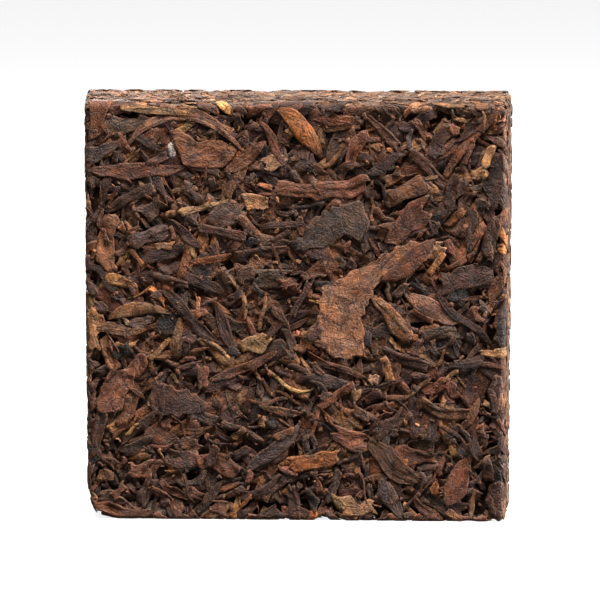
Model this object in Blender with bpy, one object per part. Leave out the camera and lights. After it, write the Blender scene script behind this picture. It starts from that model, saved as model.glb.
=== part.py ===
"""A square brick of pressed ripe pu erh tea, standing on its lower edge.

The brick is one solid: a rough core of packed tea dust with the larger leaf pieces, rolled leaves
and stalks pressed into its six sides. The front looks along -Y, and the origin is in the middle
of the face that it stands on. Sizes are in millimetres until a mesh is written, in metres.
"""

import math
from collections import namedtuple

import bmesh
import bpy
import numpy as np
from mathutils import Vector, noise

MM = 0.001  # metres in a millimetre

# The pressed block, whose mould is a little wider at the back so that the brick slides out
WIDTH = 100.0
THICKNESS = 18.0
HEIGHT = 98.4
DRAFT = 1.25  # how far each side leans in from back to front
EDGE = 1.5  # radius of the pressed edges
BASE_TRIM = 0.8  # how much of the lowest pieces is rubbed flat where the brick stands
WORN_CORNER = 9.0  # reach of the crumbled lower left corner
WORN_DEPTH = 1.6

# The core and its lumps
CORE_DEPTH = 2.3  # below the pressed skin
CORE_LUMP = 0.45  # height of its lumps
LUMP_LENGTH = 9.0
CORE_STEP = 10.0  # spacing of the core's grid

# The leaf pieces
ROOT_DEPTH = 4.2  # how far under the skin a piece is rooted in the core
LIFT = (0.8, 1.5)  # how far a piece stands over what it lies on
PRESS_START = -1.0  # height at which the mould's wall begins to press a piece flat
PRESS_ROOM = 1.3  # how much of its height above that a piece can keep
NARROWING = 2.2  # power of the curve from a piece's middle to its ends
RAGGED = 0.10  # how uneven a piece's outline is, for its size
UNEVEN = 0.12  # how uneven its height is
SPANNING = 4  # rounds of smoothing that span the hollows under a piece
WORN_CURVE = 1.5  # power of the crumbled corner's slope
POINT_WELD = 0.05  # corners this near become the one point of a leaf

CELL = 1.0  # of the height map that pieces are laid on
MAP_REACH = 56.0
SEED = 7

HALF = np.array([WIDTH, THICKNESS, HEIGHT + BASE_TRIM]) / 2
INNER = HALF - EDGE

# For each side, the directions that run across it, up it and out of it
SIDES = {
    "front": ((1, 0, 0), (0, 0, 1), (0, -1, 0)),
    "back": ((-1, 0, 0), (0, 0, 1), (0, 1, 0)),
    "right": ((0, 1, 0), (0, 0, 1), (1, 0, 0)),
    "left": ((0, -1, 0), (0, 0, 1), (-1, 0, 0)),
    "top": ((1, 0, 0), (0, 1, 0), (0, 0, 1)),
    "base": ((1, 0, 0), (0, -1, 0), (0, 0, -1)),
}
FRAMES = np.array(list(SIDES.values()), float)
SIDE_NUMBER = {name: number for number, name in enumerate(SIDES)}

# A piece's middle is across and up from the middle of its side, and turn is in degrees
Piece = namedtuple("Piece", "side across up length width turn kind bow")

# How many spaces a kind of piece has along and across, how far its back is crowned for its width,
# and how wide its ends are for its middle
Kind = namedtuple("Kind", "rows columns crown ends")
KINDS = {
    "torn": Kind(3, 1, 0.0, 0.6),  # a flat piece of blade with torn ends
    "leaf": Kind(3, 2, 0.08, 0.0),  # a pointed leaf, creased along its rib
    "rolled": Kind(3, 2, 0.30, 0.0),  # a leaf that was twisted into a roll
    "stalk": Kind(2, 1, 0.0, 0.85),
    "chip": Kind(1, 1, 0.0, 0.7),
}

# The pieces that stand out on the front: across, up, length, width, turn, kind, bow.
# The last ones lie on top.
FRONT_PIECES = (
    (-46.7, -27.9, 12, 4.0, 84, "torn", 0.0),  # matted band down the left edge
    (-41.5, -46.0, 15, 4.0, -6, "rolled", 0.8),
    (-36.7, -37.1, 6.5, 5.0, 10, "torn", 0.0),
    (-35.5, -42.1, 8.5, 5.0, -50, "torn", 0.0),
    (-26.7, -34.8, 10, 6.5, -8, "torn", 0.0),
    (-18.3, -36.2, 10, 6.0, -12, "torn", 0.0),
    (-8.0, -41.5, 11, 4.0, 30, "leaf", 0.0),
    (-0.5, -45.2, 10, 3.6, -78, "rolled", 0.0),
    (4.3, -34.3, 10, 6.0, 8, "torn", 0.0),  # crumpled orange leaf
    (12.9, -29.5, 9, 6.0, -25, "torn", 0.0),
    (14.8, -45.0, 7, 6.5, 0, "torn", 0.0),
    (22.4, -43.3, 11, 5.0, -62, "leaf", 0.0),
    (31.2, -46.0, 10, 2.6, -45, "rolled", 0.5),
    (47.0, -42.0, 10, 4.6, 86, "torn", 0.0),
    (22.9, -34.6, 15, 6.5, -38, "rolled", 1.2),  # fat rolled leaf
    (37.9, -39.5, 12, 6.5, 66, "leaf", 0.0),  # red three-cornered leaf
    (42.1, -30.2, 9, 3.0, -75, "rolled", 1.0),
    (27.9, -23.1, 13.5, 3.0, 88, "rolled", 0.0),
    (35.2, -21.8, 12, 4.0, -10, "rolled", 1.6),
    (41.2, -23.6, 10, 3.2, 62, "leaf", 0.0),
    (32.4, -17.1, 6.5, 5.0, -20, "torn", 0.0),
    (-5.2, -31.6, 18, 4.2, 42, "leaf", 0.8),  # dark narrow leaf
    (-37.1, -27.1, 13, 3.0, 46, "leaf", 0.0),
    (-27.1, -21.4, 13, 9.0, -12, "torn", 0.0),  # dark winged leaf
    (-43.3, -17.3, 11, 9.0, 60, "torn", 0.0),  # red leaf low on the left
    (-19.3, -8.8, 9, 4.0, -28, "leaf", 0.0),
    (-12.1, -12.0, 17, 2.6, 24, "rolled", 0.5),
    (9.5, -12.4, 15, 1.9, -24, "stalk", 0.0),
    (-9.8, -6.9, 6.5, 5.6, -20, "torn", 0.0),
    (-2.1, -2.1, 12, 2.6, 32, "rolled", -1.4),
    (-16.9, -3.3, 11, 3.0, -68, "rolled", 0.0),
    (-28.5, -4.6, 9.5, 3.4, 82, "rolled", 0.0),
    (-25.2, -0.7, 17, 3.2, -42, "rolled", 0.0),
    (-37.1, 0.2, 15, 4.2, 4, "rolled", -1.8),  # arched leaf
    (-41.0, -4.4, 11, 3.6, -4, "leaf", 0.0),
    (-21.0, 6.9, 10, 2.8, -32, "rolled", 0.0),
    (-31.2, 13.2, 12, 3.4, 22, "leaf", 0.0),
    (-45.3, 6.5, 12, 2.6, -48, "rolled", -1.2),
    (-41.4, 8.4, 6, 3.6, -20, "chip", 0.0),
    (-6.0, 8.1, 8, 6.4, 0, "torn", 0.0),  # squarish leaf
    (4.3, 9.8, 7, 5.0, 25, "torn", 0.0),
    (46.7, -4.5, 5.0, 4.6, 70, "chip", 0.0),
    (33.8, -4.5, 9.5, 6.5, 5, "torn", 0.0),
    (22.4, -1.0, 12, 6.0, -55, "leaf", -0.5),  # olive leaf
    (32.4, 1.4, 16, 5.2, -25, "leaf", 0.6),
    (39.5, -1.2, 18, 2.4, -43, "rolled", 0.8),
    (40.0, 8.6, 14, 7.5, 12, "torn", 0.0),  # dark leaf at the right
    (41.0, 19.0, 11, 6.0, 5, "torn", 0.0),
    (-44.3, 16.9, 12, 6.0, 84, "torn", 0.0),
    (-34.3, 18.1, 8.5, 6.0, 10, "torn", 0.0),
    (-33.0, 25.0, 10, 3.4, 52, "leaf", 0.0),
    (-21.2, 25.0, 12.5, 3.6, 14, "rolled", 0.6),  # pale coarse strip
    (-9.3, 26.2, 6.5, 5.5, 30, "torn", 0.0),
    (-39.0, 33.3, 24, 4.8, 3, "leaf", 0.6),  # long pointed leaf
    (-44.5, 38.6, 7.5, 6.0, 35, "torn", 0.0),
    (-20.7, 38.1, 12.5, 9.0, -10, "torn", 0.0),  # flat red leaf
    (-11.7, 36.4, 12, 3.4, 38, "rolled", 0.6),
    (-5.0, 39.3, 14.5, 2.8, -58, "rolled", 0.0),
    (-43.5, 44.6, 8.5, 6.5, 80, "torn", 0.0),  # folded leaf in the top corner
    (-17.0, 42.6, 13, 2.4, -38, "rolled", 1.2),
    (-31.4, 43.0, 15, 2.4, 23, "rolled", 0.0),
    (-32.9, 47.0, 16, 1.7, -7, "stalk", 0.3),
    (14.0, 38.1, 8, 5.0, 60, "torn", 0.0),
    (1.4, 42.0, 15, 6.0, -46, "leaf", -0.8),  # leaf with the pale rib
    (30.5, 39.0, 9, 6.0, -30, "torn", 0.0),
    (38.5, 37.5, 22, 2.0, 51, "stalk", 0.0),
    (6.2, 29.0, 21, 6.5, 3, "leaf", 0.5),  # red leaf
    (25.7, 29.0, 11, 7.0, 28, "torn", 0.0),
    (26.0, 20.6, 11, 9.0, 30, "torn", 0.0),
    (9.3, 19.8, 21, 8.5, 20, "torn", 0.0),  # grey leaf above the great one
    (14.8, 1.2, 31, 11.0, 47, "leaf", 1.5),  # the great leaf right of the middle
)

# The pieces that the brick stands on, in the same columns
BASE_PIECES = (
    (-34.0, 3.0, 20, 10.0, 8, "torn", 0.0),
    (-33.0, -4.5, 22, 7.0, -6, "torn", 0.0),
    (32.0, -3.0, 22, 10.0, -5, "torn", 0.0),
    (34.0, 4.5, 20, 7.0, 6, "torn", 0.0),
    (0.0, 0.0, 24, 13.0, 3, "torn", 0.0),
)

# How many pieces fill each side besides, before any that stand out, and the range of their turns
FILL = {
    "front": (14, 180),
    "back": (64, 180),
    "right": (13, 20),
    "left": (13, 20),
    "top": (14, 14),
    "base": (9, 14),
}
FILL_SHARES = (("torn", 0.34), ("leaf", 0.28), ("rolled", 0.24), ("stalk", 0.06), ("chip", 0.08))
FILL_LENGTH = {"torn": (8, 14), "leaf": (12, 24), "rolled": (10, 20), "stalk": (10, 20), "chip": (4, 8)}
FILL_WIDTH = {"torn": (6, 9.5), "leaf": (5, 8), "rolled": (2.6, 4.4), "stalk": (1.5, 2.2), "chip": (3, 5)}
NARROW_SIDE_WIDTH = 0.62  # pieces on the four thin sides show their edges, so they look narrower
OVER_EDGE = 1.0  # how far a fill piece's ends may reach past the edges of its side
MOST_BOW = 0.07  # how far a fill piece is bent sideways, for its length
TRIES = 7  # places that are tried for each fill piece, of which the lowest lying one is taken


def empty_scene():
    for other in list(bpy.data.objects):
        bpy.data.objects.remove(other)


# The brick's skin


def skin(side, across, up):
    """The inner box's point and the outward normal at spots on a side. Past the edge of the side a
    spot bends round the pressed edge onto the next one."""
    frame = FRAMES[SIDE_NUMBER[side]]
    reach = np.abs(frame @ INNER)
    flat_across = np.clip(across, -reach[0], reach[0])
    flat_up = np.clip(up, -reach[1], reach[1])
    over_across = across - flat_across
    over_up = up - flat_up
    past = np.hypot(over_across, over_up)
    bend = np.minimum(past / EDGE, math.pi / 2)
    down_next_side = np.maximum(past - EDGE * math.pi / 2, 0)
    share = np.sin(bend) / np.maximum(past, 1e-9)
    inner = np.stack([flat_across, flat_up, reach[2] - down_next_side], -1) @ frame
    normal = np.stack([over_across * share, over_up * share, np.cos(bend)], -1) @ frame
    return inner, normal


def at_height(inner, normal, height):
    """Points that lie height above the skin, in millimetres from the brick's middle. The edges
    keep their radius at any height, because the inner box grows and shrinks with it."""
    return inner * (1 + height[..., None] / INNER) + normal * EDGE


def moulded(points):
    """The block's true form: the sides' draft and the crumbled corner, with the origin in the base."""
    x, y, z = points[..., 0], points[..., 1], points[..., 2]
    frontness = (HALF[1] - y) / THICKNESS
    x = x * (1 - DRAFT / HALF[0] * frontness)
    z = (z + HALF[2] - BASE_TRIM) * (1 - DRAFT / HEIGHT * frontness)
    from_corner = np.hypot(x + HALF[0], z)
    worn = np.clip(1 - from_corner / WORN_CORNER, 0, 1) ** WORN_CURVE * WORN_DEPTH
    return np.stack([x + worn, y, z + worn], -1)


# The height map that says how high the tea lies at each spot of the six sides


def map_cells(inner, normal):
    """The height map's cell under each point of the skin."""
    side = np.argmax(normal @ FRAMES[:, 2].T, axis=-1)
    frames = FRAMES[side]
    local_inner = np.einsum("...ij,...j->...i", frames, inner)
    local_normal = np.einsum("...ij,...j->...i", frames, normal)
    angle = np.arccos(np.clip(local_normal[..., 2], -1, 1))
    sideways = np.hypot(local_normal[..., 0], local_normal[..., 1])
    share = EDGE * angle / np.maximum(sideways, 1e-9)
    spots = local_inner[..., :2] + local_normal[..., :2] * share[..., None]
    places = np.rint((spots + MAP_REACH) / CELL).astype(int)
    return side, places[..., 0], places[..., 1]


def core_height(inner, normal):
    """The core's lumpy surface, as a depth under the skin."""
    spots = (inner + normal * EDGE) / LUMP_LENGTH
    flat = spots.reshape(-1, 3)
    lumps = np.array([noise.noise(Vector(spot)) for spot in flat])
    return CORE_LUMP * 2 * lumps.reshape(spots.shape[:-1]) - CORE_DEPTH


def pressed(height):
    """What the mould's wall leaves of a height: low ones stay, and high ones are pressed flat."""
    over = np.maximum(height - PRESS_START, 0)
    return np.minimum(height, PRESS_START) + PRESS_ROOM * (1 - np.exp(-over / PRESS_ROOM))


def new_map():
    """A height map that starts at the core's own depth."""
    spots = np.arange(-MAP_REACH, MAP_REACH + CELL, CELL)
    return np.full((len(SIDES), len(spots), len(spots)), -CORE_DEPTH)


# The pieces of leaf and stalk


def piece_grid(kind):
    """How far along and beside its middle each corner of a kind's grid lies, from -1 to 1, and how
    wide the piece is there for its middle."""
    along = np.linspace(-1, 1, kind.rows + 1)[:, None]
    beside = np.linspace(-1, 1, kind.columns + 1)[None, :]
    narrowing = 1 - (1 - kind.ends) * np.abs(along) ** NARROWING
    return along, beside, narrowing


def piece_plan(piece, rng):
    """Where each corner of a piece's grid lies, across and up its side. A ragged rim and a bow
    make it uneven, and a pointed end has all its corners at one spot."""
    kind = KINDS[piece.kind]
    along, beside, narrowing = piece_grid(kind)
    ragged = rng.uniform(-RAGGED, RAGGED, (kind.rows + 1, kind.columns + 1))
    x = along * piece.length / 2 * (1 + ragged * kind.ends)
    y = beside * narrowing * piece.width / 2 * (1 + ragged) + piece.bow * (along**2 - 0.4)
    turn = math.radians(piece.turn)
    across = piece.across + x * math.cos(turn) - y * math.sin(turn)
    up = piece.up + x * math.sin(turn) + y * math.cos(turn)
    return across, up


def laid(ground):
    """A stiff sheet's height over uneven ground: it touches the high spots and spans the low ones."""
    sheet = ground.copy()
    for _ in range(SPANNING):
        padded = np.pad(sheet, 1, mode="edge")
        around = padded[2:, 1:-1] + padded[:-2, 1:-1] + padded[1:-1, 2:] + padded[1:-1, :-2]
        sheet = np.maximum(ground, around / 4)
    return sheet


def between(values, stations):
    """A grid of values filled in by straight lines to that many stations each way."""
    for axis, count in enumerate(stations):
        places = np.linspace(0, values.shape[axis] - 1, count)
        low = np.minimum(places.astype(int), values.shape[axis] - 2)
        shape = [1, 1]
        shape[axis] = count
        part = (places - low).reshape(shape)
        values = np.take(values, low, axis) * (1 - part) + np.take(values, low + 1, axis) * part
    return values


def piece_heights(piece, across, up, heights, rng):
    """Lays a piece on the height map, and gives the heights of its grid's corners."""
    kind = KINDS[piece.kind]
    _, beside, narrowing = piece_grid(kind)
    inner, normal = skin(piece.side, across, up)
    ground = heights[map_cells(inner, normal)]
    crown = kind.crown * piece.width * (1 - beside**2)
    uneven = rng.uniform(-UNEVEN, UNEVEN, across.shape)
    top = laid(ground) + rng.uniform(*LIFT) + (crown + uneven) * narrowing
    fine = [int(size / CELL * 1.5) + 2 for size in (piece.length, piece.width)]
    spots = skin(piece.side, between(across, fine), between(up, fine))
    np.maximum.at(heights, map_cells(*spots), between(top, fine))
    return top


def piece_solid(name, piece, across, up, top):
    """A closed solid of a piece: a grid with its true outline and relief, extruded into the core."""
    kind = KINDS[piece.kind]
    bm = bmesh.new()
    bmesh.ops.create_grid(bm, x_segments=kind.rows, y_segments=kind.columns, size=1)
    inner, normal = skin(piece.side, across, up)
    spots = moulded(at_height(inner, normal, pressed(top)))
    roots = moulded(at_height(inner, normal, np.full(top.shape, -ROOT_DEPTH)))
    numbers = {}
    for vert in bm.verts:
        row = round((vert.co.x + 1) / 2 * kind.rows)
        column = round((vert.co.y + 1) / 2 * kind.columns)
        numbers[vert] = (row, column)
    under = bmesh.ops.duplicate(bm, geom=bm.verts[:] + bm.edges[:] + bm.faces[:])["vert_map"]
    for vert, place in numbers.items():
        vert.co = Vector(spots[place] * MM)
        under[vert].co = Vector(roots[place] * MM)
    bmesh.ops.remove_doubles(bm, verts=bm.verts, dist=POINT_WELD * MM)
    rim = [edge for edge in bm.edges if edge.is_boundary]
    bmesh.ops.bridge_loops(bm, edges=rim)
    bmesh.ops.triangulate(bm, faces=bm.faces)
    bmesh.ops.recalc_face_normals(bm, faces=bm.faces)
    if bm.calc_volume(signed=True) < 0:
        bmesh.ops.reverse_faces(bm, faces=bm.faces)
    return new_object(name, bm)


def new_object(name, bm):
    mesh = bpy.data.meshes.new(name)
    bm.to_mesh(mesh)
    bm.free()
    return bpy.data.objects.new(name, mesh)


def fill_piece(side, turn_range, heights, rng):
    """A piece of fill, at the lowest lying of a few places on its side."""
    names = [name for name, _ in FILL_SHARES]
    kind = rng.choice(names, p=[share for _, share in FILL_SHARES])
    length = rng.uniform(*FILL_LENGTH[kind])
    width = rng.uniform(*FILL_WIDTH[kind])
    if turn_range < 90:
        width *= NARROW_SIDE_WIDTH
    reach = np.abs(FRAMES[SIDE_NUMBER[side]] @ HALF)
    lengthwise = 0 if reach[0] > reach[1] else 90
    places = []
    for _ in range(TRIES):
        turn = lengthwise + rng.uniform(-turn_range, turn_range)
        lean = math.radians(turn)
        half_spread = length / 2 * np.abs([math.cos(lean), math.sin(lean)])
        across, up = rng.uniform(-1, 1, 2) * (reach[:2] + OVER_EDGE - half_spread)
        bow = rng.uniform(-1, 1) * length * MOST_BOW
        piece = Piece(side, across, up, length, width, turn, kind, bow)
        level = heights[map_cells(*skin(side, *piece_plan(piece, np.random.default_rng(SEED))))]
        places.append((level.mean(), piece))
    return min(places, key=lambda place: place[0])[1]


def all_pieces(collection):
    """Lays the fill and then the pieces that stand out, and adds a solid for each."""
    rng = np.random.default_rng(SEED)
    heights = new_map()
    queue = [(side, None) for side, (count, _) in FILL.items() for _ in range(count)]
    queue += [("front", row) for row in FRONT_PIECES]
    queue += [("base", row) for row in BASE_PIECES]
    for number, (side, row) in enumerate(queue):
        if row is None:
            piece = fill_piece(side, FILL[side][1], heights, rng)
        else:
            piece = Piece(side, *row)
        across, up = piece_plan(piece, rng)
        top = piece_heights(piece, across, up, heights, rng)
        solid = piece_solid(f"piece_{number}", piece, across, up, top)
        collection.objects.link(solid)


# The core and the whole brick


def cut_planes(half):
    """Evenly spaced cuts through a block, no further apart than the core's grid."""
    spaces = math.ceil(2 * half / CORE_STEP)
    return np.linspace(-half, half, spaces + 1)[1:-1]


def core_solid():
    """A box cut into a grid, with its skin rounded and lumpy. Its base reaches the floor."""
    bm = bmesh.new()
    bmesh.ops.create_cube(bm, size=1)
    bmesh.ops.scale(bm, vec=HALF * 2, verts=bm.verts)
    for axis in range(3):
        across_axis = Vector([float(axis == other) for other in range(3)])
        for place in cut_planes(HALF[axis]):
            everything = bm.verts[:] + bm.edges[:] + bm.faces[:]
            bmesh.ops.bisect_plane(
                bm, geom=everything, plane_co=across_axis * place, plane_no=across_axis
            )
    points = np.array([vert.co for vert in bm.verts])
    inner = np.clip(points, -INNER, INNER)
    out = points - inner
    normal = out / np.linalg.norm(out, axis=1, keepdims=True)
    shaped = moulded(at_height(inner, normal, core_height(inner, normal)))
    for vert, place in zip(bm.verts, shaped):
        vert.co = Vector(place * MM)
    bmesh.ops.triangulate(bm, faces=bm.faces)
    return new_object("tea_brick", bm)


def pressed_tea():
    """Ripe pu erh is a dull, nearly black brown."""
    material = bpy.data.materials.new("ripe_pu_erh_tea")
    material.use_nodes = True
    shader = material.node_tree.nodes["Principled BSDF"]
    shader.inputs["Base Color"].default_value = (0.075, 0.036, 0.022, 1)
    shader.inputs["Roughness"].default_value = 0.62
    shader.inputs["Metallic"].default_value = 0.0
    return material


def floor_cutter():
    """The block of air under the floor, which trims the base flat."""
    bpy.ops.mesh.primitive_cube_add(size=1)
    cutter = bpy.context.object
    cutter.name = "under_floor"
    cutter.scale = (WIDTH * 2 * MM, WIDTH * 2 * MM, WIDTH * MM)
    cutter.location = (0, 0, -WIDTH / 2 * MM)
    cutter.hide_render = True
    cutter.display_type = "WIRE"
    return cutter


def apply_modifiers(target):
    graph = bpy.context.evaluated_depsgraph_get()
    whole = bpy.data.meshes.new_from_object(target.evaluated_get(graph))
    target.modifiers.clear()
    target.data = whole


def keep_outer_surface(target):
    """Fills any hollow that the pieces seal off and drops loose scraps, by keeping the one surface
    that the topmost corner belongs to."""
    bm = bmesh.new()
    bm.from_mesh(target.data)
    topmost = max(bm.verts, key=lambda vert: vert.co.z)
    kept = {topmost}
    waiting = [topmost]
    while waiting:
        vert = waiting.pop()
        near = {edge.other_vert(vert) for edge in vert.link_edges} - kept
        kept |= near
        waiting += near
    bmesh.ops.delete(bm, geom=[vert for vert in bm.verts if vert not in kept])
    bm.to_mesh(target.data)
    bm.free()


def build():
    empty_scene()
    parts = bpy.data.collections.new("pu_erh_tea_brick")
    pieces = bpy.data.collections.new("leaf_pieces")
    for collection in (parts, pieces):
        bpy.context.scene.collection.children.link(collection)
    brick = core_solid()
    parts.objects.link(brick)
    all_pieces(pieces)
    joined = brick.modifiers.new("leaf_pieces", "BOOLEAN")
    joined.operation = "UNION"
    joined.operand_type = "COLLECTION"
    joined.collection = pieces
    joined.solver = "MANIFOLD"
    apply_modifiers(brick)
    for solid in list(pieces.objects):
        bpy.data.objects.remove(solid)
    bpy.data.collections.remove(pieces)
    trimmed = brick.modifiers.new("flat_base", "BOOLEAN")
    trimmed.operation = "DIFFERENCE"
    trimmed.object = floor_cutter()
    trimmed.solver = "MANIFOLD"
    apply_modifiers(brick)
    bpy.data.objects.remove(bpy.data.objects["under_floor"])
    keep_outer_surface(brick)
    brick.data.materials.clear()
    brick.data.materials.append(pressed_tea())


build()
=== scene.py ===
"""A square brick of pressed ripe pu erh tea, standing on its lower edge, seen from a little above.

The brick is a dark packed core that is covered on all six sides with leaf pieces, rolled leaves,
stalks, stems and chips, laid one on another and pressed flat by a mould. Lengths are in
millimetres until a mesh is written, in metres.
"""

import math
from collections import defaultdict, namedtuple
from functools import cache

import bpy
import numpy as np
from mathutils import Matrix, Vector


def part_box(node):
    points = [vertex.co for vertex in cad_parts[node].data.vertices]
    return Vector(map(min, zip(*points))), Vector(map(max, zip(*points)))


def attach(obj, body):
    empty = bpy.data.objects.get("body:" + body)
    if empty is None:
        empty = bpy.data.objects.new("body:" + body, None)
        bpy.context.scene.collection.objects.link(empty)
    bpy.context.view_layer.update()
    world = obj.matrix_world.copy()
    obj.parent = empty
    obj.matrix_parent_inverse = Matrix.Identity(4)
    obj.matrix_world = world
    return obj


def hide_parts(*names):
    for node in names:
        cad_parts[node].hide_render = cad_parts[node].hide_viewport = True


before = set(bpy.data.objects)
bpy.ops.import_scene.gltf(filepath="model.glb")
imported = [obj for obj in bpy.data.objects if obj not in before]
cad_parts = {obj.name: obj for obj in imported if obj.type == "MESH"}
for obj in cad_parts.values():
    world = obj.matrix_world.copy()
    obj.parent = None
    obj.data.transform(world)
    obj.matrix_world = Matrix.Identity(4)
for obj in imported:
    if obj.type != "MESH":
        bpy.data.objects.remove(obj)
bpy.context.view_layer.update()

MM = 0.001


# The form that the mould gave the tea: a flat block with rounded edges, a little narrower at the
# front than at the back, and crumbled at the lower left corner. Every piece of tea is placed by
# how far across and up its side it lies, and how high over the block's skin.

cad_low, cad_high = (np.array(corner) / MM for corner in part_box("tea_brick"))
WIDTH, THICKNESS, HEIGHT = cad_high - cad_low
DRAFT = 1.25  # how far each side leans in from back to front
EDGE = 1.5  # radius of the pressed edges
WORN_CORNER = 9.0  # reach of the crumbled corner
WORN_DEPTH = 1.6
WORN_CURVE = 1.5
HALF = np.array([WIDTH, THICKNESS, HEIGHT]) / 2
INNER = HALF - EDGE

# For each side, the directions that run across it, up it and out of it
SIDES = {
    "front": ((1, 0, 0), (0, 0, 1), (0, -1, 0)),
    "back": ((-1, 0, 0), (0, 0, 1), (0, 1, 0)),
    "right": ((0, 1, 0), (0, 0, 1), (1, 0, 0)),
    "left": ((0, -1, 0), (0, 0, 1), (-1, 0, 0)),
    "top": ((1, 0, 0), (0, 1, 0), (0, 0, 1)),
    "base": ((1, 0, 0), (0, -1, 0), (0, 0, -1)),
}
FACES = ("front", "back")  # the broad sides. The other four are thin.
FRAMES = np.array(list(SIDES.values()), float)
SIDE_NUMBER = {name: number for number, name in enumerate(SIDES)}
REACH = {name: np.abs(block @ HALF) for name, block in zip(SIDES, FRAMES)}


def skin(side, across, up):
    """The inner box's point and the outward normal at spots on a side. Past the edge of the side a
    spot bends round the pressed edge onto the next one."""
    block = FRAMES[SIDE_NUMBER[side]]
    reach = np.abs(block @ INNER)
    flat_across = np.clip(across, -reach[0], reach[0])
    flat_up = np.clip(up, -reach[1], reach[1])
    over_across = across - flat_across
    over_up = up - flat_up
    past = np.hypot(over_across, over_up)
    bend = np.minimum(past / EDGE, math.pi / 2)
    down_next_side = np.maximum(past - EDGE * math.pi / 2, 0)
    share = np.sin(bend) / np.maximum(past, 1e-9)
    inner = np.stack([flat_across, flat_up, reach[2] - down_next_side], -1) @ block
    normal = np.stack([over_across * share, over_up * share, np.cos(bend)], -1) @ block
    return inner, normal


def drafted(points):
    """Points of a straight block, moved to give its sides their draft and crumble its corner."""
    x, y, z = points[..., 0], points[..., 1], points[..., 2]
    frontness = (HALF[1] - y) / THICKNESS
    x = x * (1 - DRAFT / HALF[0] * frontness)
    z = (z + HALF[2]) * (1 - DRAFT / HEIGHT * frontness)
    from_corner = np.hypot(x + HALF[0], z)
    worn = np.clip(1 - from_corner / WORN_CORNER, 0, 1) ** WORN_CURVE * WORN_DEPTH
    return np.stack([x + worn, y, np.maximum(z + worn, 0)], -1)


def moulded(inner, normal, height):
    """Points of the brick that lie height above the skin."""
    facing = np.abs(normal[..., 1])
    proud = THIN_PRESS.proud + (FACE_PRESS.proud - THIN_PRESS.proud) * facing
    height = squeezed(height + STANDING * np.clip(-normal[..., 2], 0, 1), 0, proud)
    return drafted(inner * (1 + height[..., None] / INNER) + normal * EDGE)


# The height map says how high the tea lies at each spot of the six sides. It starts at the core,
# and each piece that is laid raises it.

CELL = 0.5
MAP_REACH = 54.0
CORE_DEPTH = 2.0  # of the core under the front and the back
CORE_THIN = 0.9  # and under the thin sides, where the tea is packed closest
CORE_RIM = (0.5, 4.0)  # how far from an edge the core's front and back begin and end to sink
map_spots = np.arange(-MAP_REACH, MAP_REACH + CELL, CELL)


def core_depth(across, up):
    """How deep the core lies under a spot of the front or the back."""
    from_edge = np.minimum(HALF[0] - np.abs(across), HALF[2] - np.abs(up))
    return np.interp(from_edge, CORE_RIM, (CORE_THIN, CORE_DEPTH))


heights = np.full((len(SIDES), len(map_spots), len(map_spots)), -CORE_THIN)
for side in FACES:
    heights[SIDE_NUMBER[side]] = -core_depth(map_spots[:, None], map_spots[None, :])


def map_cells(inner, normal):
    """The height map's cell under each point of the skin."""
    side = np.argmax(normal @ FRAMES[:, 2].T, axis=-1)
    blocks = FRAMES[side]
    local_inner = np.einsum("...ij,...j->...i", blocks, inner)
    local_normal = np.einsum("...ij,...j->...i", blocks, normal)
    angle = np.arccos(np.clip(local_normal[..., 2], -1, 1))
    sideways = np.hypot(local_normal[..., 0], local_normal[..., 1])
    share = EDGE * angle / np.maximum(sideways, 1e-9)
    spots = local_inner[..., :2] + local_normal[..., :2] * share[..., None]
    places = np.rint((spots + MAP_REACH) / CELL).astype(int)
    return side, places[..., 0], places[..., 1]


def tea_height(side, across, up):
    """How high the tea lies at spots on a side."""
    return heights[map_cells(*skin(side, across, up))]


# The mould's wall presses flat whatever comes near it, but a piece that lies on another still
# shows on top of it. Start is the height at which pressing begins, room what is left above that,
# proud how far tea may stand over the skin, and wrinkling the share of wrinkles left.
Press = namedtuple("Press", "start room proud wrinkling")
FACE_PRESS = Press(-1.0, 0.65, 0.35, 1.0)
THIN_PRESS = Press(-0.45, 0.35, 0.12, 0.45)  # on the thin sides, where the mould slid along the tea
STANDING = 0.4  # how much the base was flattened by standing on it


def squeezed(height, start, room):
    """Heights over the start, squeezed into the room there is."""
    return np.minimum(height, start) + room * (1 - np.exp(-np.maximum(height - start, 0) / room))


def laid(ground, rounds):
    """A sheet over uneven ground: it touches the high spots and spans the low ones, further with
    more rounds of smoothing."""
    sheet = ground
    for _ in range(rounds):
        padded = np.pad(sheet, 1, mode="edge")
        around = padded[2:, 1:-1] + padded[:-2, 1:-1] + padded[1:-1, 2:] + padded[1:-1, :-2]
        sheet = np.maximum(ground, around / 4)
    return sheet


def ripple(along, beside, length_along, length_beside, waves=4):
    """Smooth unevenness between about -1 and 1, with waves of about these lengths."""
    total = 0
    for _ in range(waves):
        turns_along = along * rng.uniform(-1.3, 1.3) / length_along
        turns_beside = beside * rng.uniform(0.5, 1.5) / length_beside
        total = total + np.sin(2 * math.pi * (turns_along + turns_beside + rng.uniform()))
    return total / math.sqrt(waves)


SEED = 11  # of everything that is random
rng = np.random.default_rng(SEED)


# Colours of the tea. Ripe pu erh was piled wet and fermented, which turned its leaves nearly
# black, reddish or grey brown. Buds stay golden, and split stalks show tan wood.


def linear(hex_colour):
    """An sRGB hex colour as linear red, green and blue."""
    parts = np.array([int(hex_colour[start:start + 2], 16) for start in (1, 3, 5)]) / 255
    return np.where(parts > 0.04045, ((parts + 0.055) / 1.055) ** 2.4, parts / 12.92)


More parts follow.
